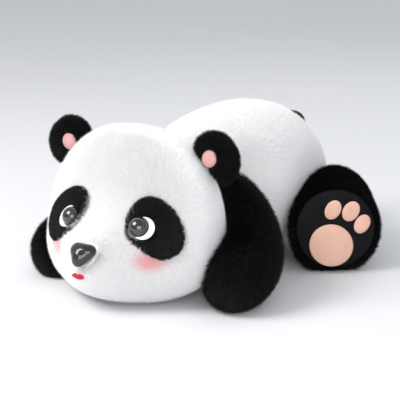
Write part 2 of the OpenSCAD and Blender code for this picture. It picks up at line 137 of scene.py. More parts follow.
def torso_limit(n):
    a = TORSO_SQUARE / (TORSO_SQUARE - 1)
    ry = torso_reach[1] if n[1] < 0 else torso_reach[2]
    rz = torso_reach[3] if n[2] > 0 else torso_reach[4]
    return n @ torso_middle + ((torso_reach[0] * abs(n[0])) ** a + (ry * abs(n[1])) ** a
                               + (rz * abs(n[2])) ** a) ** (1 / a)


shoulder_facing, hip_facing = unit([0.82, -0.3, 0.48]), unit([0.985, 0.12, 0.1])
shoulder_plane = torso_limit(shoulder_facing) - 7
hip_plane = torso_limit(hip_facing) - 7


def torso_point(u, inset):
    p = torso_middle + rounded(u, torso_reach - inset, TORSO_SQUARE)
    for n, d in ((shoulder_facing, shoulder_plane), (hip_facing, hip_plane)):
        p = below(below(p, n, d - inset), flip(n), d - inset)
    return np.stack([p[..., 0], np.maximum(p[..., 1], neck_y + seam_gap + inset),
                     np.maximum(p[..., 2], inset)], -1)


def tipped(v, nod):
    c, s = math.cos(math.radians(nod)), math.sin(math.radians(nod))
    return np.stack([v[..., 0], v[..., 1] * c - v[..., 2] * s, v[..., 2] * c + v[..., 1] * s], -1)


neck_hinge = np.array([0, neck_y, 124.0])
rim_facing = unit([1, 1, 0])
rim_plane = rim_facing @ np.array([head_width * 0.41, neck_y, 0])


def off_head(p, nod, room):
    q = tipped(p - neck_hinge, nod) + neck_hinge - head_middle
    reach = head_reach + room
    ry = np.where(q[..., 1] < 0, reach[1], reach[2])
    rz = np.where(q[..., 2] > 0, reach[3], reach[4])
    depth = ((np.abs(q[..., 0]) / reach[0]) ** HEAD_SQUARE + (np.abs(q[..., 1]) / ry) ** HEAD_SQUARE
             + (np.abs(q[..., 2]) / rz) ** HEAD_SQUARE) ** (1 / HEAD_SQUARE)
    out = tipped(q / np.maximum(0.2, depth)[..., None] + head_middle - neck_hinge, -nod) + neck_hinge
    back = above(p, rim_facing, rim_plane + room)
    nearer = np.linalg.norm(out - p, axis=-1) < np.linalg.norm(back - p, axis=-1)
    moved = np.where(nearer[..., None], out, back)
    return np.where((depth >= 1)[..., None], p, moved)


def signed_pow(v, n):
    return np.sign(v) * np.abs(v) ** n


class Limb:
    """A bent, stuffed limb on the left side, sewn to the torso at one end."""

    def __init__(self, ends, radii, square, cross, facing, plane, beside_head):
        self.ends = [np.array(e, float) for e in ends]
        self.radii, self.square, self.cross = radii, square, np.array(cross, float)
        self.facing, self.plane, self.beside_head = facing, plane, beside_head

    def bow(self, u):
        a, b, c = self.ends
        return (1 - u) ** 2 * a + 2 * u * (1 - u) * b + u ** 2 * c

    def way(self, u):
        a, b, c = self.ends
        return unit((1 - u) * (b - a) + u * (c - b))

    def point(self, s, t, inset):
        """s and t in radians: s along the limb from its sewn end to its free end, t round it."""
        n = np.where(s < 0, self.square[0], self.square[1])
        length = np.linalg.norm(self.ends[2] - self.ends[0])
        u = (0.5 + (0.5 - inset / length) * signed_pow(np.sin(s), 2 / n))[..., None]
        size = self.radii[0] + (self.radii[1] - self.radii[0]) * u - inset
        r = (np.maximum(0, np.cos(s)) ** (2 / n))[..., None] * size
        way = self.way(u)
        e1 = unit(self.cross - (way @ self.cross)[..., None] * way)
        e2 = np.cross(way, e1)
        p = self.bow(u) + r * (np.cos(t)[..., None] * e1 + np.sin(t)[..., None] * e2)
        p = above(p, self.facing, self.plane + inset)
        if self.beside_head:
            for nod in (0, 5, 10):
                p = off_head(p, nod, inset + 1.6)
        return np.stack([p[..., 0], p[..., 1], np.maximum(p[..., 2], inset)], -1)




def arm_limb(bend, spread, reach):
    return Limb([[60, neck_y + 26, 120], bend, [spread, neck_y - reach, paw_width / 2 - 12]],
                [shoulder_width / 2, paw_width / 2], [2.6, 2.7], [1, 0.3, 0.4],
                shoulder_facing, shoulder_plane + seam_gap, True)


# The left arm is bent further out; the right one is modelled on the left and mirrored.
wide_arm = arm_limb([125, neck_y + 24, 30], paw_spread, 78)
close_arm = arm_limb([108, neck_y + 30, 4], paw_spread - 10, 66)
turn = math.radians(foot_turn)
sole_facing = np.array([math.sin(turn), -math.cos(turn), 0.04])
sole_middle = np.array([foot_spread, torso_y - 52, foot_width / 2 - 6])
leg = Limb([[84, torso_y + 80, 68], sole_middle - sole_facing * 48, sole_middle],
           [thigh_width / 2, foot_width / 2], [2.3, 8], [0, 0, 1],
           hip_facing, hip_plane + seam_gap, False)

ear_angle = math.radians(ear_lean)
ear_up = np.array([math.sin(ear_angle), 0, math.cos(ear_angle)])
ear_front = unit([-0.04 * math.cos(ear_angle), -1, 0.04 * math.sin(ear_angle)])
ear_root = head_point(unit(ear_up + [0, 0.17, 0]), 0) + ear_up * 3.4
tail_up = unit([0, 112, 50])
tail_root = torso_point(tail_up, 0) + tail_up * 3.2
ear = (ear_root, ear_up, ear_front, [ear_width, ear_depth, ear_width - 2], 10)
tail = (tail_root, tail_up, np.cross([-1, 0, 0], tail_up), [tail_width, tail_width * 0.8, tail_width], 8)


def pouch_point(pouch, s, t, inset):
    root, up, front, size, middle = pouch
    across = np.cross(up, front)
    half = np.array([size[0] / 2, size[1] / 2, size[1] / 2, size[2] / 2, size[2] / 2]) - inset
    p = rounded(np.stack([np.cos(s) * np.cos(t), np.sin(s), np.cos(s) * np.sin(t)], -1), half, 2.2)
    return (root + p[..., 0:1] * across + p[..., 1:2] * front
            + np.maximum(p[..., 2] + middle, inset)[..., None] * up)


# ---- Mesh helpers -----------------------------------------------------------------------------


def new_object(name, mesh):
    made = bpy.data.objects.new(name, mesh)
    bpy.context.scene.collection.objects.link(made)
    return made


def mesh_from(name, points, faces, smooth=True):
    """A mesh in metres from points in millimetres."""
    mesh = bpy.data.meshes.new(name)
    mesh.from_pydata((np.asarray(points).reshape(-1, 3) * MM).tolist(), [], faces)
    mesh.validate()
    if smooth:
        mesh.shade_smooth()
    return mesh


def grid_faces(rows, columns, wrap=True, out=True):
    faces = []
    for i in range(rows - 1):
        for j in range(columns if wrap else columns - 1):
            k = (j + 1) % columns
            quad = [i * columns + j, (i + 1) * columns + j, (i + 1) * columns + k, i * columns + k]
            faces.append(quad if out else quad[::-1])
    return faces


def closed_grid(name, points):
    """A closed mesh from rows that start and end at one point each."""
    rows, columns = points.shape[:2]
    inner = points[1:-1].reshape(-1, 3)
    start, end = len(inner), len(inner) + 1
    faces = grid_faces(rows - 2, columns)
    last = (rows - 3) * columns
    for j in range(columns):
        k = (j + 1) % columns
        faces.append([start, j, k])
        faces.append([end, last + k, last + j])
    mesh = mesh_from(name, np.vstack([inner, points[0, 0], points[-1, 0]]), faces)
    if signed_volume(mesh) < 0:
        mesh.flip_normals()
    return mesh


def triangles_of(mesh):
    mesh.calc_loop_triangles()
    tri = np.empty(len(mesh.loop_triangles) * 3, np.int32)
    mesh.loop_triangles.foreach_get("vertices", tri)
    return tri.reshape(-1, 3)


def coordinates(mesh):
    co = np.empty(len(mesh.vertices) * 3)
    mesh.vertices.foreach_get("co", co)
    return co.reshape(-1, 3)


def normals(mesh):
    n = np.empty(len(mesh.vertices) * 3)
    mesh.vertex_normals.foreach_get("vector", n)
    return n.reshape(-1, 3)


def signed_volume(mesh):
    co, tri = coordinates(mesh), triangles_of(mesh)
    a, b, c = co[tri[:, 0]], co[tri[:, 1]], co[tri[:, 2]]
    return float(np.einsum("ij,ij->", a, np.cross(b, c)) / 6)


def evaluated(obj):
    graph = bpy.context.evaluated_depsgraph_get()
    graph.update()
    return bpy.data.meshes.new_from_object(obj.evaluated_get(graph))


def flipped(obj):
    """Moves obj to the other side of the toy."""
    co = coordinates(obj.data) * [-1, 1, 1]
    obj.data.vertices.foreach_set("co", co.ravel())
    obj.data.flip_normals()
    obj.data.update()
    return obj


def mirrored(obj, name):
    """A copy of obj for the right side of the toy."""
    mesh = obj.data.copy()
    mesh.name = name
    return flipped(new_object(name, mesh))


def stuffed(name, grid, held, voxel, swell, floor=1.0):
    """A stuffed cover: remeshed, blown up as cloth between its held seams, and subdivided once.

    grid holds the points of the slack cover, held marks those that a seam or a flat face holds.
    """
    obj = new_object(name, closed_grid(name, grid))
    remesh = obj.modifiers.new("remesh", "REMESH")
    remesh.mode, remesh.voxel_size, remesh.use_smooth_shade = "VOXEL", voxel * MM, True
    obj.data = evaluated(obj)
    obj.modifiers.clear()
    start = coordinates(obj.data)
    tree = KDTree(grid.shape[0] * grid.shape[1])
    for i, p in enumerate(grid.reshape(-1, 3) * MM):
        tree.insert(p, i)
    tree.balance()
    flat = held.ravel()
    firm = [i for i, p in enumerate(start) if flat[tree.find(p)[1]]]
    group = obj.vertex_groups.new(name="held")
    group.add(firm, 1.0, "REPLACE")
    cloth = obj.modifiers.new("cloth", "CLOTH")
    cloth.settings.vertex_group_mass = "held"
    cloth.settings.quality = 5
    cloth.settings.use_pressure = True
    cloth.settings.uniform_pressure_force = 4
    cloth.settings.effector_weights.gravity = 0
    cloth.collision_settings.use_collision = False
    cloth.point_cache.frame_start, cloth.point_cache.frame_end = 1, 20
    scene = bpy.context.scene
    for f in range(1, 21):
        scene.frame_set(f)
    blown = coordinates(evaluated(obj))
    scene.frame_set(1)
    obj.modifiers.clear()
    obj.vertex_groups.clear()
    move = blown - start
    far = np.linalg.norm(move, axis=1, keepdims=True)
    move *= np.minimum(1, swell * MM / np.maximum(far, 1e-9))
    end = start + move
    end[:, 2] = np.maximum(end[:, 2], floor * MM)
    obj.data.vertices.foreach_set("co", end.ravel())
    obj.data.update()
    smooth = obj.modifiers.new("smooth", "SUBSURF")
    smooth.levels = smooth.render_levels = 1
    obj.data = evaluated(obj)
    obj.modifiers.clear()
    obj.data.name = name
    obj.data.shade_smooth()
    return obj


# ---- Pile -------------------------------------------------------------------------------------


def tangent(v, n):
    return unit(v - (v * n).sum(1, keepdims=True) * n + 1e-9)


def pile(name, skin, count, length, width, lean, flow, seed, keep=None, bent=False, spread=0.5,
         clump=0.0, lift=0.0):
    """Strands of plush pile rooted on a skin: one thin triangle each, or three where they bend."""
    rng = np.random.default_rng(seed)
    mesh = skin.data
    co, tri, vn = coordinates(mesh) / MM, triangles_of(mesh), normals(mesh)
    a, b, c = (co[tri[:, i]] for i in range(3))
    area = np.linalg.norm(np.cross(b - a, c - a), axis=1)
    total = np.cumsum(area)
    at = np.searchsorted(total / total[-1], (np.arange(count) + rng.random(count)) / count)
    at = np.minimum(at, len(tri) - 1)
    r1, r2 = np.sqrt(rng.random(count)), rng.random(count)
    w = np.stack([1 - r1, r1 * (1 - r2), r1 * r2], 1)[..., None]
    root = (co[tri[at]] * w).sum(1)
    n = unit((vn[tri[at]] * w).sum(1))
    if keep is not None:
        kept = keep(root, n)
        root, n = root[kept], n[kept]
    count = len(root)
    d = tangent(flow(root, n), n)
    turned = rng.normal(0, spread, count)[:, None]
    d = np.cos(turned) * d + np.sin(turned) * np.cross(n, d)
    tilt = np.radians(lean + rng.normal(0, 7, count))[:, None]
    reach = (length * rng.uniform(0.75, 1.1, count))[:, None]
    root = root + n * lift
    side = unit(np.cross(n, d)) * width / 2

    def heading(angle):
        return np.cos(angle) * n + np.sin(angle) * d

    if bent:
        middle = root + heading(tilt - 0.25) * reach * 0.5
        tip = middle + heading(tilt + 0.3) * reach * 0.5
    else:
        tip = root + heading(tilt) * reach
    if clump:
        tree = KDTree(count // 24 + 1)
        heads = rng.choice(count, count // 24 + 1, replace=False)
        for i, k in enumerate(heads):
            tree.insert(root[k], i)
        tree.balance()
        near = np.array([heads[tree.find(p)[1]] for p in root])
        tip += (tip[near] - tip) * clump
        if bent:
            middle += (middle[near] - middle) * clump * 0.35
    if bent:
        points = np.stack([root - side, root + side, middle - side * 0.8, middle + side * 0.8, tip], 1)
        faces = [[0, 1, 3], [0, 3, 2], [2, 3, 4]]
        spots = [[0.15, 0.1], [0.85, 0.1], [0.2, 0.5], [0.8, 0.5], [0.5, 0.9]]
        along = [0, 0, 0.5, 0.5, 1]
    else:
        points = np.stack([root - side, root + side, tip], 1)
        faces, spots, along = [[0, 1, 2]], [[0.15, 0.1], [0.85, 0.1], [0.5, 0.9]], [0, 0, 1]
    points[..., 2] = np.maximum(points[..., 2], 0.3)
    per = points.shape[1]
    corners = (np.arange(count)[:, None, None] * per + np.array(faces)[None]).reshape(-1, 3)
    made = bpy.data.meshes.new(name)
    made.vertices.add(count * per)
    made.vertices.foreach_set("co", (points * MM).ravel())
    made.loops.add(corners.size)
    made.loops.foreach_set("vertex_index", corners.ravel())
    made.polygons.add(len(corners))
    made.polygons.foreach_set("loop_start", np.arange(0, corners.size, 3))
    made.update(calc_edges=True)
    for key, values in (("along", np.tile(along, count)), ("shade", np.repeat(rng.random(count), per))):
        made.attributes.new(key, "FLOAT", "POINT").data.foreach_set("value", values.astype(np.float32))
    cells = math.ceil(math.sqrt(count))
    cell = np.stack([np.arange(count) % cells, np.arange(count) // cells], 1)
    uv = ((cell[:, None] + np.array(spots)[None]) / cells).reshape(-1, 2)[corners.ravel()]
    made.uv_layers.new(name="OFBake").data.foreach_set("uv", uv.ravel())
    made.shade_smooth()
    return new_object(name, made)


# ---- Materials --------------------------------------------------------------------------------


class Look:
    """A node material with one Principled shader, whose constants sit on its own sockets."""

    def __init__(self, name, **sockets):
        self.material = bpy.data.materials.new(name)
        self.material.use_nodes = True
        self.tree = self.material.node_tree
        self.tree.nodes.clear()
        self.shader = self.tree.nodes.new("ShaderNodeBsdfPrincipled")
        out = self.tree.nodes.new("ShaderNodeOutputMaterial")
        self.tree.links.new(self.shader.outputs[0], out.inputs[0])
        for key, value in sockets.items():
            self.put(self.shader.inputs[key.replace("_", " ")], value)

    def put(self, socket, value):
        if isinstance(value, bpy.types.NodeSocket):
            self.tree.links.new(value, socket)
        elif isinstance(value, (tuple, list, np.ndarray)):
            value = tuple(float(x) for x in value)
            socket.default_value = value + (1.0,) if len(value) == 3 and socket.type == "RGBA" else value
        else:
            socket.default_value = value

    def node(self, kind, inputs=(), **settings):
        made = self.tree.nodes.new("ShaderNode" + kind)
        for key, value in settings.items():
            setattr(made, key, value)
        for key, value in dict(inputs).items():
            self.put(made.inputs[key], value)
        return made

    def spot(self):
        return self.node("TexCoord").outputs["Object"]

    def attribute(self, name):
        return self.node("Attribute", attribute_name=name).outputs["Fac"]

    def noise(self, scale, detail=3.0, roughness=0.6, vector=None):
        vector = vector or self.spot()
        made = self.node("TexNoise", {"Vector": vector, "Scale": scale, "Detail": detail,
                                      "Roughness": roughness})
        return made.outputs["Fac"]

    def math(self, operation, a, b=0.0, clamp=False):
        return self.node("Math", {0: a, 1: b}, operation=operation, use_clamp=clamp).outputs[0]

    def scaled(self, value, low, high, to_low=0.0, to_high=1.0):
        made = self.node("MapRange", {"Value": value, "From Min": low, "From Max": high,
                                      "To Min": to_low, "To Max": to_high})
        return made.outputs[0]

    def mix(self, share, a, b, kind="MIX"):
        made = self.node("Mix", data_type="RGBA", blend_type=kind)
        self.put(made.inputs["Factor"], share)
        self.put(made.inputs[6], a)
        self.put(made.inputs[7], b)
        return made.outputs[2]

    def distance(self, spot, centre, squeeze=(1, 1, 1)):
        """Distance in metres from a centre in millimetres, with each axis scaled by squeeze."""
        moved = self.node("VectorMath", {0: spot, 1: tuple(-np.asarray(centre) * MM)}, operation="ADD")
        sized = self.node("VectorMath", {0: moved.outputs[0], 1: tuple(squeeze)}, operation="MULTIPLY")
        return self.node("VectorMath", {0: sized.outputs[0]}, operation="LENGTH").outputs["Value"]

    def bump(self, height, strength, distance):
        made = self.node("Bump", {"Strength": strength, "Distance": distance, "Height": height})
        self.put(self.shader.inputs["Normal"], made.outputs[0])

    def colour(self, value):
        self.put(self.shader.inputs["Base Color"], value)


BLUSH = [face_point(x * 57.0, 54.0) for x in (1, -1)]


def white_plush(name, strands):
    look = Look(name, Roughness=0.85, Sheen_Weight=0.3, Sheen_Roughness=0.4)
    look.shader.inputs["Specular IOR Level"].default_value = 0.2
    spot = look.spot()
    cloud = look.scaled(look.noise(45, 4), 0.3, 0.7, 0.0, 1.0)
    tone = look.mix(cloud, (0.96, 0.955, 0.955), (0.985, 0.975, 0.97))
    if strands:
        # Painted shade: each strand is darker towards its root, standing in for the shade deep in the
        # pile.
        tip = look.scaled(look.attribute("along"), 0.0, 0.8, 0.0, 1.0)
        tone = look.mix(tip, look.mix(1.0, tone, (0.93, 0.92, 0.925), "MULTIPLY"), tone)
        shade = look.scaled(look.attribute("shade"), 0.0, 1.0, 0.93, 1.03)
        tone = look.mix(1.0, tone, look.node("CombineColor", {0: shade, 1: shade, 2: shade}).outputs[0],
                        "MULTIPLY")
    else:
        tone = look.mix(look.noise(900, 4), look.mix(1.0, tone, (0.88, 0.87, 0.875), "MULTIPLY"), tone)
        look.bump(look.noise(1400, 3), 0.6, 0.0008)
    near = look.node("Math", {0: look.distance(spot, BLUSH[0], (1, 1, 1.7)),
                              1: look.distance(spot, BLUSH[1], (1, 1, 1.7))}, operation="MINIMUM")
    patchy = look.math("ADD", near.outputs[0], look.scaled(look.noise(160, 3), 0, 1, -0.004, 0.004))
    pink = look.scaled(patchy, 0.006, 0.022, 0.62, 0.0)
    look.colour(look.mix(pink, tone, (0.95, 0.34, 0.34)))
    return look.material


def black_plush(name, strands):
    look = Look(name, Roughness=0.6, Sheen_Weight=0.01, Sheen_Roughness=0.5)
    look.shader.inputs["Specular IOR Level"].default_value = 0.16
    cloud = look.scaled(look.noise(60, 4), 0.3, 0.7, 0.0, 1.0)
    dark, light = (0.002, 0.002, 0.0025), look.mix(cloud, (0.004, 0.0045, 0.004), (0.009, 0.010, 0.009))
    if strands:
        # Painted shade and highlight: each strand runs from a near-black root, painted shade deep in the
        # pile, to a lighter tip, a painted highlight on the strand tips.
        tone = look.mix(look.scaled(look.attribute("along"), 0.15, 1.0), dark, light)
        shade = look.scaled(look.attribute("shade"), 0.0, 1.0, 0.45, 1.5)
        tone = look.mix(1.0, tone, look.node("CombineColor", {0: shade, 1: shade, 2: shade}).outputs[0],
                        "MULTIPLY")
    else:
        tone = look.mix(look.noise(900, 4), dark, (0.007, 0.007, 0.007))
        look.bump(look.noise(1200, 3), 0.7, 0.001)
    look.colour(tone)
    return look.material


def satin(name, dark, light, weave, gloss, sheen=0.35, shine=0.4):
    """Woven satin: fine crossed threads, soft long wrinkles and a broad sheen."""
    look = Look(name, Roughness=gloss, Sheen_Weight=sheen, Sheen_Roughness=0.3)
    look.shader.inputs["Specular IOR Level"].default_value = shine
    spot = look.spot()
    warp = look.node("TexWave", {"Vector": spot, "Scale": weave, "Distortion": 0.4, "Detail": 1.0},
                     wave_type="BANDS", bands_direction="Z").outputs["Fac"]
    weft = look.node("TexWave", {"Vector": spot, "Scale": weave, "Distortion": 0.4, "Detail": 1.0},
                     wave_type="BANDS", bands_direction="DIAGONAL").outputs["Fac"]
    threads = look.math("MULTIPLY", warp, weft)
    cloud = look.scaled(look.noise(70, 4), 0.3, 0.7)
    tone = look.math("ADD", look.math("MULTIPLY", threads, 0.5), look.math("MULTIPLY", cloud, 0.5))
    look.colour(look.mix(tone, dark, light))
    look.bump(look.math("ADD", threads, look.math("MULTIPLY", look.noise(90, 2), 2.0)), 0.35, 0.0005)
    return look.material


def felt(name, dark, light):
    look = Look(name, Roughness=0.95, Sheen_Weight=0.4, Sheen_Roughness=0.5)
    fibre = look.noise(2200, 5, 0.7)
    look.colour(look.mix(look.scaled(fibre, 0.3, 0.7), dark, light))
    look.bump(fibre, 0.6, 0.0005)
    return look.material


def iris(name, centre, axis):
    """A dark pupil in a brown iris, under the clear plastic of the eye."""
    look = Look(name, Roughness=0.12, Coat_Weight=1.0, Coat_Roughness=0.02, Coat_IOR=1.5)
    spot = look.spot()
    moved = look.node("VectorMath", {0: spot, 1: tuple(-np.asarray(centre) * MM)}, operation="ADD")
    off = look.node("VectorMath", {0: moved.outputs[0], 1: tuple(axis)}, operation="CROSS_PRODUCT")
    radius = look.node("VectorMath", {0: off.outputs[0]}, operation="LENGTH").outputs["Value"]
    rays = look.noise(420, 3, 0.5)
    brown = look.mix(look.scaled(rays, 0.3, 0.7), (0.016, 0.014, 0.012), (0.040, 0.034, 0.029))
    pupil = look.scaled(radius, 0.0050, 0.0062)
    rim = look.scaled(radius, 0.0082, 0.0094)
    look.colour(look.mix(rim, look.mix(pupil, (0.004, 0.004, 0.005), brown), (0.010, 0.008, 0.008)))
    look.bump(look.noise(300, 2), 0.02, 0.0002)
    return look.material


def plastic(name, dark, light, gloss):
    look = Look(name, Roughness=gloss, Coat_Weight=0.6, Coat_Roughness=0.06)
    look.colour(look.mix(look.scaled(look.noise(260, 4), 0.3, 0.7), dark, light))
    look.bump(look.noise(700, 2), 0.04, 0.0002)
    return look.material


def embroidery(name):
    look = Look(name, Roughness=0.45, Sheen_Weight=0.3, Sheen_Roughness=0.3)
    twist = look.node("TexWave", {"Vector": look.spot(), "Scale": 900.0, "Distortion": 1.0},
                      wave_type="BANDS", bands_direction="DIAGONAL").outputs["Fac"]
    look.colour(look.mix(twist, (0.42, 0.004, 0.03), (0.72, 0.015, 0.07)))
    look.bump(twist, 0.4, 0.0002)
    return look.material


WHITE_SKIN, WHITE_PILE = white_plush("white_skin", False), white_plush("white_pile", True)
BLACK_SKIN, BLACK_PILE = black_plush("black_skin", False), black_plush("black_pile", True)
SOLE = satin("black_satin", (0.002, 0.002, 0.0025), (0.008, 0.008, 0.009), 500.0, 0.5, 0.01, 0.1)
PAD = satin("salmon_satin", (0.70, 0.40, 0.29), (0.82, 0.53, 0.41), 700.0, 0.5, 0.2)
PINK = satin("pink_plush", (0.52, 0.27, 0.26), (0.68, 0.38, 0.36), 600.0, 0.7, 0.1)
FELT = felt("white_felt", (0.80, 0.80, 0.80), (0.92, 0.92, 0.92))
NOSE = plastic("nose_plastic", (0.004, 0.004, 0.005), (0.010, 0.010, 0.012), 0.18)
WASHER = plastic("washer_plastic", (0.5, 0.5, 0.48), (0.6, 0.6, 0.58), 0.4)
THREAD = embroidery("red_thread")


def dress(obj, body, slot, *looks):
    """Gives a piece its materials and, when body is given, its body. The slot argument is not used."""
    obj.data.materials.clear()
    for look in looks:
        obj.data.materials.append(look)
    if body:
        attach(obj, body)
    return obj


def carry(node, look):
    obj = bpy.data.objects[node]
    if not obj.material_slots:
        obj.data.materials.append(look)
    for s in obj.material_slots:
        s.material = look


# ---- Skins ------------------------------------------------------------------------------------

PILE_DEPTH, SWELL = 3.6, 3.0


def about_x(across, around):
    return np.stack([np.sin(across), np.cos(across) * np.cos(around), np.cos(across) * np.sin(around)], -1)


def about_y(along, around):
    return np.stack([np.cos(along) * np.sin(around), np.sin(along), np.cos(along) * np.cos(around)], -1)


def angles(rows, columns):
    s = np.radians(np.linspace(-90, 90, rows))
    t = np.radians(np.arange(columns) * 360 / columns)
    return np.meshgrid(s, t, indexing="ij")


S, T = angles(61, 96)
gusset = math.asin(52 / head_width)
head_grid = head_point(about_x(S, T), PILE_DEPTH + SWELL)
head_held = (np.abs(np.abs(S) - gusset) < 0.03) | (head_grid[..., 1] > neck_y - PILE_DEPTH - SWELL - 0.5)
head_skin = stuffed("head_skin", head_grid, head_held, 5, SWELL)

torso_grid = torso_point(about_y(S, T), PILE_DEPTH + SWELL)
from_spine = np.abs((np.degrees(T) + 180) % 360 - 180)
torso_held = ((from_spine < 2) | (np.abs(from_spine - 142) < 2.5)
              | (torso_grid[..., 1] < neck_y + seam_gap + 7.2)
              | (torso_grid @ shoulder_facing > shoulder_plane - 7.2)
              | (torso_grid @ flip(shoulder_facing) > shoulder_plane - 7.2)
              | (torso_grid @ hip_facing > hip_plane - 7.2)
              | (torso_grid @ flip(hip_facing) > hip_plane - 7.2))
torso_skin = stuffed("torso_skin", torso_grid, torso_held, 5, SWELL)


def limb_skin(name, limb, depth, sole=False):
    s, t = angles(49, 72)
    grid = limb.point(s, t, depth + SWELL)
    quarter = np.abs((np.degrees(t) + (0 if limb is leg else 90) + 90) % 180 - 90)
    held = (quarter < 3) | (grid @ limb.facing < limb.plane + depth + SWELL + 0.5)
    if sole:
        held |= (grid - sole_middle) @ unit(sole_facing) > -depth - SWELL - 4
    return stuffed(name, grid, held, 4, SWELL)


LONG_DEPTH = 3.8
arm_skins = [limb_skin("arm_skin_left", wide_arm, LONG_DEPTH),
             limb_skin("arm_skin_right", close_arm, LONG_DEPTH)]
leg_skin = limb_skin("leg_skin_left", leg, LONG_DEPTH, True)


def pouch_skin(name, pouch, depth):
    s, t = angles(25, 40)
    grid = pouch_point(pouch, s, t, depth + 1.5)
    held = (np.abs(s) < 0.05) | (((grid - pouch[0]) @ pouch[1]) < depth + 2)
    return stuffed(name, grid, held, 2.5, 1.5, 0.0)


ear_skin = pouch_skin("ear_skin_left", ear, 2.6)
tail_skin = pouch_skin("tail_skin", tail, 3.0)

# ---- Pile of each body ------------------------------------------------------------------------


PATCH_X, PATCH_Z, PATCH_LONG, PATCH_WIDE, PATCH_LEAN = 53, 84, 32, 21.5, math.radians(47)


def patch_outline(k, count=72):
    t = np.radians(np.linspace(360, 0, count, endpoint=False))
    turned = (np.degrees(t) - 285 + 180) % 360 - 180
    hollow = 1 - 0.2 * np.exp(-(turned / 30) ** 2)
    long, wide = PATCH_LONG * k * hollow * np.cos(t), PATCH_WIDE * k * hollow * np.sin(t)
    return np.stack([PATCH_X + long * math.sin(PATCH_LEAN) + wide * math.cos(PATCH_LEAN),
                     PATCH_Z - long * math.cos(PATCH_LEAN) + wide * math.sin(PATCH_LEAN)], -1)


def in_patch(x, z, k):
    """True inside the eye patch of either side, grown by k."""
    dx, dz = np.abs(x) - PATCH_X, z - PATCH_Z
    long = (dx * math.sin(PATCH_LEAN) - dz * math.cos(PATCH_LEAN)) / PATCH_LONG
    wide = (dx * math.cos(PATCH_LEAN) + dz * math.sin(PATCH_LEAN)) / PATCH_WIDE
    turned = (np.degrees(np.arctan2(wide, long)) - 285 + 180) % 360 - 180
    hollow = 1 - 0.2 * np.exp(-(turned / 30) ** 2)
    return np.hypot(long, wide) < k * hollow


def on_front(p):
    return p[:, 1] < head_y - 8


def head_keep(p, n):
    hidden = p[:, 1] > neck_y - 5.5
    patch = on_front(p) & in_patch(p[:, 0], p[:, 2], 0.97)
    nose_spot = on_front(p) & (np.hypot(p[:, 0] / 11.5, (p[:, 2] - nose_height + 1) / 9.5) < 1)
    lips = on_front(p) & (np.hypot(p[:, 0] / 7, (p[:, 2] - mouth_height) / 3) < 1)
    return ~(hidden | patch | nose_spot | lips)


def head_flow(p, n):
    return p - np.array([0, -215, nose_height]) + np.array([0, 0, -12])


def half(sign, keep):
    return lambda p, n: keep(p, n) & (p[:, 0] * sign >= 0)


def torso_keep(p, n):
    hidden = (p[:, 1] < neck_y + seam_gap + 5.5)
    for facing, plane in ((shoulder_facing, shoulder_plane), (hip_facing, hip_plane)):
        hidden |= (p @ facing > plane - 5) | (p @ flip(facing) > plane - 5)
    return ~hidden


def torso_flow(p, n):
    return np.stack([np.sign(p[:, 0]) * 0.25, np.full(len(p), 1.0), -np.full(len(p), 0.5)], 1)


def sided(name, side):
    return f"{name}_{side}"


white_length, white_width = 8.0, 0.5
head_pile, torso_pile = [], []
for side, sign in (("left", 1), ("right", -1)):
    head_pile.append(pile(sided("head_pile", side), head_skin, 330000, white_length, white_width, 42,
                          head_flow, 10 + sign, half(sign, head_keep)))
    torso_pile.append(pile(sided("torso_pile", side), torso_skin, 330000, white_length, white_width + 0.05,
                           44, torso_flow, 20 + sign, half(sign, torso_keep)))


def arm_keep(p, n):
    return p @ wide_arm.facing > wide_arm.plane + LONG_DEPTH + 1.5


def arm_flow(p, n):
    return np.array([[0.25, -0.5, -1.0]]) + n * 0 + (p - [105, -110, 60]) * 0.012


sole_out = unit(sole_facing)
sole_across = unit(np.cross([0, 0, 1], sole_out))
sole_up = np.cross(sole_out, sole_across)


def leg_keep(p, n):
    flat = p @ leg.facing < leg.plane + LONG_DEPTH + 1.5
    off = p - sole_middle
    out = off @ sole_out
    from_middle = np.linalg.norm(off - out[:, None] * sole_out, axis=1)
    return ~(flat | ((out > -14) & (from_middle < foot_width / 2 - 10)))


def leg_flow(p, n):
    return sole_out * 0.9 + (p - sole_middle) * 0.006 - np.array([0, 0, 0.15])


def ear_keep(p, n):
    low = (p - ear_root) @ ear_up < 3.6
    q = p - ear_root
    across, up = q @ np.cross(ear_up, ear_front), q @ ear_up - 10
    lining = ((n @ ear_front) > 0.2) & (np.hypot((across + 2.5) / 8.2, up / 8.6) < 1)
    return ~(low | lining)


def ear_flow(p, n):
    return (p - (ear_root + ear_up * 6)) + n * 4


def tail_keep(p, n):
    return (p - tail_root) @ tail_up > 4


def tail_flow(p, n):
    return p - tail_root


arm_piles = [pile(sided("arm_pile", side), skin, 72000, 12.0, 0.55, 30, arm_flow, 31 + i, arm_keep, True,
                  0.6, 0.2) for i, (side, skin) in enumerate(zip(("left", "right"), arm_skins))]
leg_pile = pile("leg_pile_left", leg_skin, 80000, 13.0, 0.55, 26, leg_flow, 33, leg_keep, True, 0.6, 0.2)
ear_pile = pile("ear_pile_left", ear_skin, 26000, 9.0, 0.5, 28, ear_flow, 34, ear_keep, True, 0.7, 0.2)
tail_pile = pile("tail_pile", tail_skin, 12000, 9.0, 0.55, 36, tail_flow, 35, tail_keep, True, 0.6, 0.2)

# ---- Face -------------------------------------------------------------------------------------


def face_plate(name, rings, out):
    """A fabric piece on the face. rings run outwards; out says how far each ring stands proud."""
    points = [face_point(r[:, 0], r[:, 1], np.full(len(r), o)) for r, o in zip(rings, out)]
    rows, columns = len(points), len(points[0])
    faces = grid_faces(rows, columns, True, False) + [list(range(columns))[::-1]]
    faces += [[(rows - 1) * columns + j for j in range(columns)]]
    mesh = mesh_from(name, np.vstack(points), faces)
    if signed_volume(mesh) < 0:
        mesh.flip_normals()
    return new_object(name, mesh)


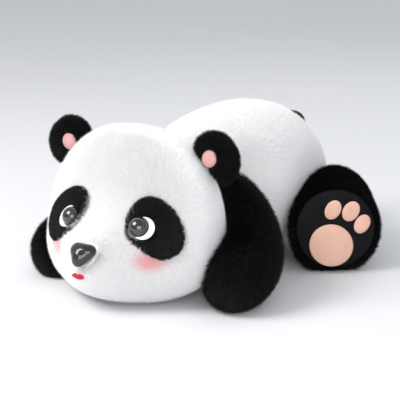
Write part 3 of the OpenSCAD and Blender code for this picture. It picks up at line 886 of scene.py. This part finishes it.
patch_steps = [0.02, 0.2, 0.4, 0.6, 0.75, 0.88, 0.96, 1.0, 0.99, 0.9, 0.5, 0.05]
patch_out = [0.4, 0.4, 0.4, 0.4, 0.3, 0.1, -0.4, -1.6, -2.6, -3.0, -3.0, -3.0]
patch_skin = face_plate("eye_patch_skin_left", [patch_outline(k) for k in patch_steps], patch_out)


def patch_keep(p, n):
    eye = np.hypot(p[:, 0] - eye_spread, p[:, 2] - eye_height) > eye_width / 2 - 1
    felt_spot = np.hypot(p[:, 0] - eye_spread - 4, p[:, 2] - eye_height) > eye_width / 2 + 1
    return eye & felt_spot & (n @ np.array([0.35, -0.9, 0.1]) > 0.1)


def patch_flow(p, n):
    return p - np.array([eye_spread, -190, eye_height]) + np.array([0, 0, -14])


patch_pile = pile("eye_patch_pile_left", patch_skin, 26000, 4.6, 0.5, 50, patch_flow, 41, patch_keep,
                  True, 0.5, 0.3)


def lips():
    """Satin stitches side by side, from the lower to the upper edge of the lips."""
    points, faces = [], []
    for x in np.linspace(-6.6, 6.6, 34):
        half_span = math.sqrt(max(0.0, 1 - (x / 7) ** 2))
        top = mouth_height + half_span * (3.2 - 1.4 * math.exp(-(x / 1.6) ** 2))
        low = mouth_height - half_span * 3.2
        for i, f in enumerate(np.linspace(0, 1, 7)):
            z = low + (top - low) * f
            rise = 0.9 + 1.5 * math.sin(math.pi * f)
            for dx, dz in ((-0.24, -0.5), (0.0, 0.0), (0.24, -0.5)):
                points.append(face_point(x + dx, z, np.array(rise + dz)))
            if i:
                a = len(points) - 6
                faces += [[a, a + 1, a + 4, a + 3], [a + 1, a + 2, a + 5, a + 4]]
    return new_object("mouth_stitches", mesh_from("mouth_stitches", points, faces))


mouth = lips()


def nose_shape():
    """A soft triangle with rounded corners, domed, with two shallow nostrils."""
    n = face_normal(0.0, float(nose_height))
    centre = face_point(0.0, float(nose_height), np.array(1.2))
    right = np.array([1.0, 0, 0])
    up = np.cross(right, n)
    up = unit(up if up[2] > 0 else -up)
    corner = 7.5
    reach = nose_width / 2 - corner
    spots = np.array([[-reach, 4.2], [reach, 4.2], [0, -6.0]])
    edges = [(spots[i], spots[j] - spots[i]) for i, j in ((0, 1), (1, 2), (2, 0))]

    def inside(q):
        """True in the triangle of the spots, rolled round by a circle of the corner's radius."""
        off = [np.linalg.norm(q - (a + np.clip(((q - a) @ e) / (e @ e), 0, 1) * e)) for a, e in edges]
        return min(off) < corner or all(np.cross(e, q - a) < 0 for a, e in edges)

    outline = []
    for turned in np.radians(np.arange(64) * 360 / 64):
        way = np.array([np.cos(turned), np.sin(turned)])
        low, high = 0.0, 30.0
        for _ in range(30):
            middle = (low + high) / 2
            low, high = (middle, high) if inside(way * middle) else (low, middle)
        outline.append(way * low)
    outline = np.array(outline)
    rows = []
    for k, h in ((0.0, 9.5), (0.15, 9.4), (0.3, 9.1), (0.45, 8.5), (0.6, 7.6), (0.73, 6.5), (0.84, 5.1),
                 (0.92, 3.7), (0.98, 1.8), (1.0, 0.2), (0.97, -1.2), (0.8, -2.5), (0.0, -3.0)):
        ring = outline * k
        height = np.full(len(ring), h)
        if h > 0:
            height -= sum(0.9 * np.exp(-((ring[:, 0] - s * 5.2) ** 2 + (ring[:, 1] + 1.5) ** 2) / 3.2)
                          for s in (1, -1))
        rows.append(centre + ring[:, 0:1] * right + ring[:, 1:2] * up + height[:, None] * n)
    return new_object("nose_button", closed_grid("nose_button", np.array(rows)))


nose = nose_shape()

# ---- Ears' linings, soles and pads --------------------------------------------------------------


def domed(name, spot, rings, rise, back):
    """A puffed patch: rings of an ellipse that rise to a soft middle. spot maps x, z, out to points."""
    t = np.radians(np.arange(48) * 360 / 48)
    rows = []
    for k in rings:
        rows.append(spot(k * np.cos(t), k * np.sin(t), rise * (1 - k ** 4)))
    rows.append(spot(rings[-1] * 0.97 * np.cos(t), rings[-1] * 0.97 * np.sin(t), -back))
    rows.append(spot(0 * t, 0 * t, -back))
    return new_object(name, closed_grid(name, np.array(rows)))


def lining_spot(x, z, out):
    x, z = -2.5 + 8.5 * x, 9 * z
    y = ear_depth / 2 * (1 - (np.hypot(x, z) * 2 / ear_width) ** 2.2) ** (1 / 2.2)
    across = np.cross(ear_up, ear_front)
    out = np.broadcast_to(out, x.shape)
    return (ear_root + x[:, None] * across + (z + 10)[:, None] * ear_up
            + (y - 0.6 + out)[:, None] * ear_front)


DOME_RINGS = (0.0, 0.2, 0.4, 0.6, 0.75, 0.86, 0.94, 1.0)
lining = domed("ear_lining_left_patch", lining_spot, DOME_RINGS, 1.6, 1.5)


def sole_spot(x, z, out):
    return sole_middle + x[..., None] * sole_across + z[..., None] * sole_up + out[..., None] * sole_out


def sole_plate():
    """The satin sole: nearly flat, puffed a little, with fine gathers along its sewn edge.

    It sits a little high on the foot, so that fur shows under it, and stays off the floor.
    """
    t = np.radians(np.arange(120) * 3.0)
    radius = foot_width / 2 - 9
    plate_rise = 4.0
    rows = []
    for k in (0.0, 0.15, 0.3, 0.45, 0.6, 0.72, 0.82, 0.9, 0.95, 0.985, 1.0, 1.0, 0.9, 0.5, 0.0):
        ring = len(rows)
        gather = 0.3 * np.sin(t * 34) * max(0, (k - 0.75) / 0.25) if ring < 11 else 0 * t
        rise = -2.2 * k ** 5 + gather if ring < 11 else 0 * t - 7.0
        x, z = radius * k * np.cos(t), radius * k * np.sin(t) + plate_rise
        rows.append(sole_spot(x, np.maximum(z, 6.5 - sole_middle[2]), np.broadcast_to(rise, t.shape)))
    return new_object("sole_cover_left", closed_grid("sole_cover_left", np.array(rows)))


sole = sole_plate()
PRINT_COS, PRINT_SIN = math.cos(math.radians(print_lean)), math.sin(math.radians(print_lean))


def print_spot(pad):
    """Where a pad of the print lies on the sole; pad is its across, up, width and height."""
    across, up, width, height = pad

    def spot(x, z, out):
        px, pz = across + x * width / 2, up + z * height / 2
        return sole_spot(px * PRINT_COS + pz * PRINT_SIN, -px * PRINT_SIN + pz * PRINT_COS,
                         0.2 + np.broadcast_to(out, x.shape))
    return spot


PRINT = {"main_pad": (2.5, -14.5, 49, 46), "front_toe_pad": (-16, 20, 17, 22),
         "middle_toe_pad": (2, 28, 18, 23), "rear_toe_pad": (20, 22, 16.5, 22)}
pads = {key: domed(key + "_left_patch", print_spot(value), DOME_RINGS, 1.5, 0.8)
        for key, value in PRINT.items()}

# ---- Seam joins, which bridge the joints when they open -----------------------------------------


def sleeve(name, axis, ring, half_length, rows=9):
    """A tube of skin round a joint; ring gives its outline in the plane across the axis."""
    points = [ring + axis * h for h in np.linspace(-half_length, half_length, rows)]
    mesh = mesh_from(name, np.vstack(points), grid_faces(rows, len(ring), True, True))
    return new_object(name, mesh)


NECK_STEPS = 72
round_neck = np.radians(np.arange(NECK_STEPS) * 360 / NECK_STEPS)
neck_ring = np.stack([44 * np.cos(round_neck), np.full(NECK_STEPS, neck_y + 0.4),
                      59.5 + 57 * np.sin(round_neck)], 1)
neck_sleeve = sleeve("neck_sleeve", np.array([0, 1.0, 0]), neck_ring, 11)

# ---- Pieces, materials and bodies -------------------------------------------------------------

dress(head_skin, "head", "white_plush", WHITE_SKIN)
dress(torso_skin, "torso", "white_plush", WHITE_SKIN)
for p in head_pile:
    dress(p, "head", "white_plush", WHITE_PILE)
for p in torso_pile:
    dress(p, "torso", "white_plush", WHITE_PILE)
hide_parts("head_left_panel", "head_gusset", "head_right_panel", "head_stuffing")
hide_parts("torso_left_panel", "torso_right_panel", "belly_panel", "torso_stuffing")
dress(tail_skin, "tail", "black_plush", BLACK_SKIN)
dress(tail_pile, "tail", "black_plush", BLACK_PILE)
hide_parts("tail_upper_panel", "tail_lower_panel", "tail_stuffing")
dress(mouth, "head", "red_embroidery", THREAD)
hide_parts("mouth")
dress(nose, "head", "eye_plastic", NOSE)
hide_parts("nose")
dress(neck_sleeve, None, "white_plush", WHITE_SKIN)
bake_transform(neck_sleeve)
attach(neck_sleeve, "torso")


def pair(obj):
    """Both sides of a piece: (side, piece) for the left one and its mirrored copy."""
    stem = obj.name
    right = mirrored(obj, stem.replace("left", "right"))
    return (("left", obj), ("right", right))


def show_pair(obj, body, slot, look, nodes=()):
    for side, piece in pair(obj):
        dress(piece, sided(body, side) if body != "head" else "head", slot, look)
        if nodes:
            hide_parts(*[sided(n, side) for n in nodes])


for skin, hair in zip(arm_skins, arm_piles):
    side = skin.name.rsplit("_", 1)[1]
    if side == "right":
        flipped(skin)
        flipped(hair)
    dress(skin, sided("arm", side), "black_plush", BLACK_SKIN)
    dress(hair, sided("arm", side), "black_plush", BLACK_PILE)
    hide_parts(*[sided(n, side) for n in ("arm_outer_panel", "arm_inner_panel", "arm_stuffing")])
show_pair(leg_skin, "leg", "black_plush", BLACK_SKIN,
          ("leg_outer_panel", "leg_inner_panel", "leg_stuffing"))
show_pair(leg_pile, "leg", "black_plush", BLACK_PILE)
show_pair(sole, "leg", "black_satin", SOLE, ("sole",))
for key, piece in pads.items():
    show_pair(piece, "leg", "salmon_satin", PAD, (key,))
show_pair(ear_skin, "ear", "black_plush", BLACK_SKIN, ("ear_front", "ear_back", "ear_stuffing"))
show_pair(ear_pile, "ear", "black_plush", BLACK_PILE)
show_pair(lining, "ear", "pink_plush", PINK, ("ear_lining",))
show_pair(patch_skin, "head", "black_plush", BLACK_SKIN, ("eye_patch",))
show_pair(patch_pile, "head", "black_plush", BLACK_PILE)

eye_normal = face_normal(float(eye_spread), float(eye_height))
eye_middle = face_point(float(eye_spread), float(eye_height), np.array(4.3))
for side, sign in (("left", 1), ("right", -1)):
    turned = np.array([sign, 1, 1])
    carry(sided("eye", side), iris(sided("iris", side), eye_middle * turned, eye_normal * turned))
    carry(sided("eye_felt", side), FELT)
    carry(sided("eye_washer", side), WASHER)
carry("nose_washer", WASHER)

# ---- Floor, light and camera --------------------------------------------------------------------

floor_mesh = bpy.data.meshes.new("floor")
floor_mesh.from_pydata([(-6, -6, 0), (6, -6, 0), (6, 6, 0), (-6, 6, 0)], [], [(0, 1, 2, 3)])
floor = new_object("floor", floor_mesh)
ground = Look("floor", Roughness=0.8)
ground.colour(ground.mix(ground.noise(3.0, 2), (0.80, 0.81, 0.82), (0.84, 0.84, 0.85)))
floor.data.materials.append(ground.material)

scene = bpy.context.scene
world = bpy.data.worlds.new("studio")
world.use_nodes = True
world.node_tree.nodes["Background"].inputs[0].default_value = (0.93, 0.95, 1.0, 1)
world.node_tree.nodes["Background"].inputs[1].default_value = 0.66
scene.world = world


def lamp(name, at, to, size, power, colour=(1, 1, 1)):
    data = bpy.data.lights.new(name, "AREA")
    data.shape, data.size, data.size_y = "RECTANGLE", size[0], size[1]
    data.energy, data.color = power, colour
    made = new_object(name, data)
    made.location = at
    made.rotation_mode = "QUATERNION"
    made.rotation_quaternion = (Vector(to) - Vector(at)).to_track_quat("-Z", "Y")


lamp("window", (-0.7, -1.1, 1.3), (0, -0.05, 0.08), (1.0, 0.8), 24, (1.0, 0.99, 0.97))
lamp("fill", (0.9, -1.4, 0.55), (0, 0, 0.07), (1.2, 0.9), 13, (0.95, 0.97, 1.0))
lamp("back", (0.2, 1.5, 1.2), (0, 0, 0.1), (1.4, 0.8), 3, (1, 1, 1))

camera = bpy.data.objects.new("camera", bpy.data.cameras.new("camera"))
scene.collection.objects.link(camera)
azimuth, elevation, target = math.radians(32), math.radians(13.6), Vector((0, 0.0002, 0.0710))
back = Vector((math.sin(azimuth) * math.cos(elevation), -math.cos(azimuth) * math.cos(elevation),
               math.sin(elevation)))
camera.location = target + back * 1.35
camera.rotation_mode = "QUATERNION"
camera.rotation_quaternion = (-back).to_track_quat("-Z", "Y")
camera.data.sensor_width, camera.data.lens = 36, 109.8
camera.data.clip_start, camera.data.clip_end = 0.05, 30
scene.camera = camera
scene.view_settings.view_transform = "Standard"
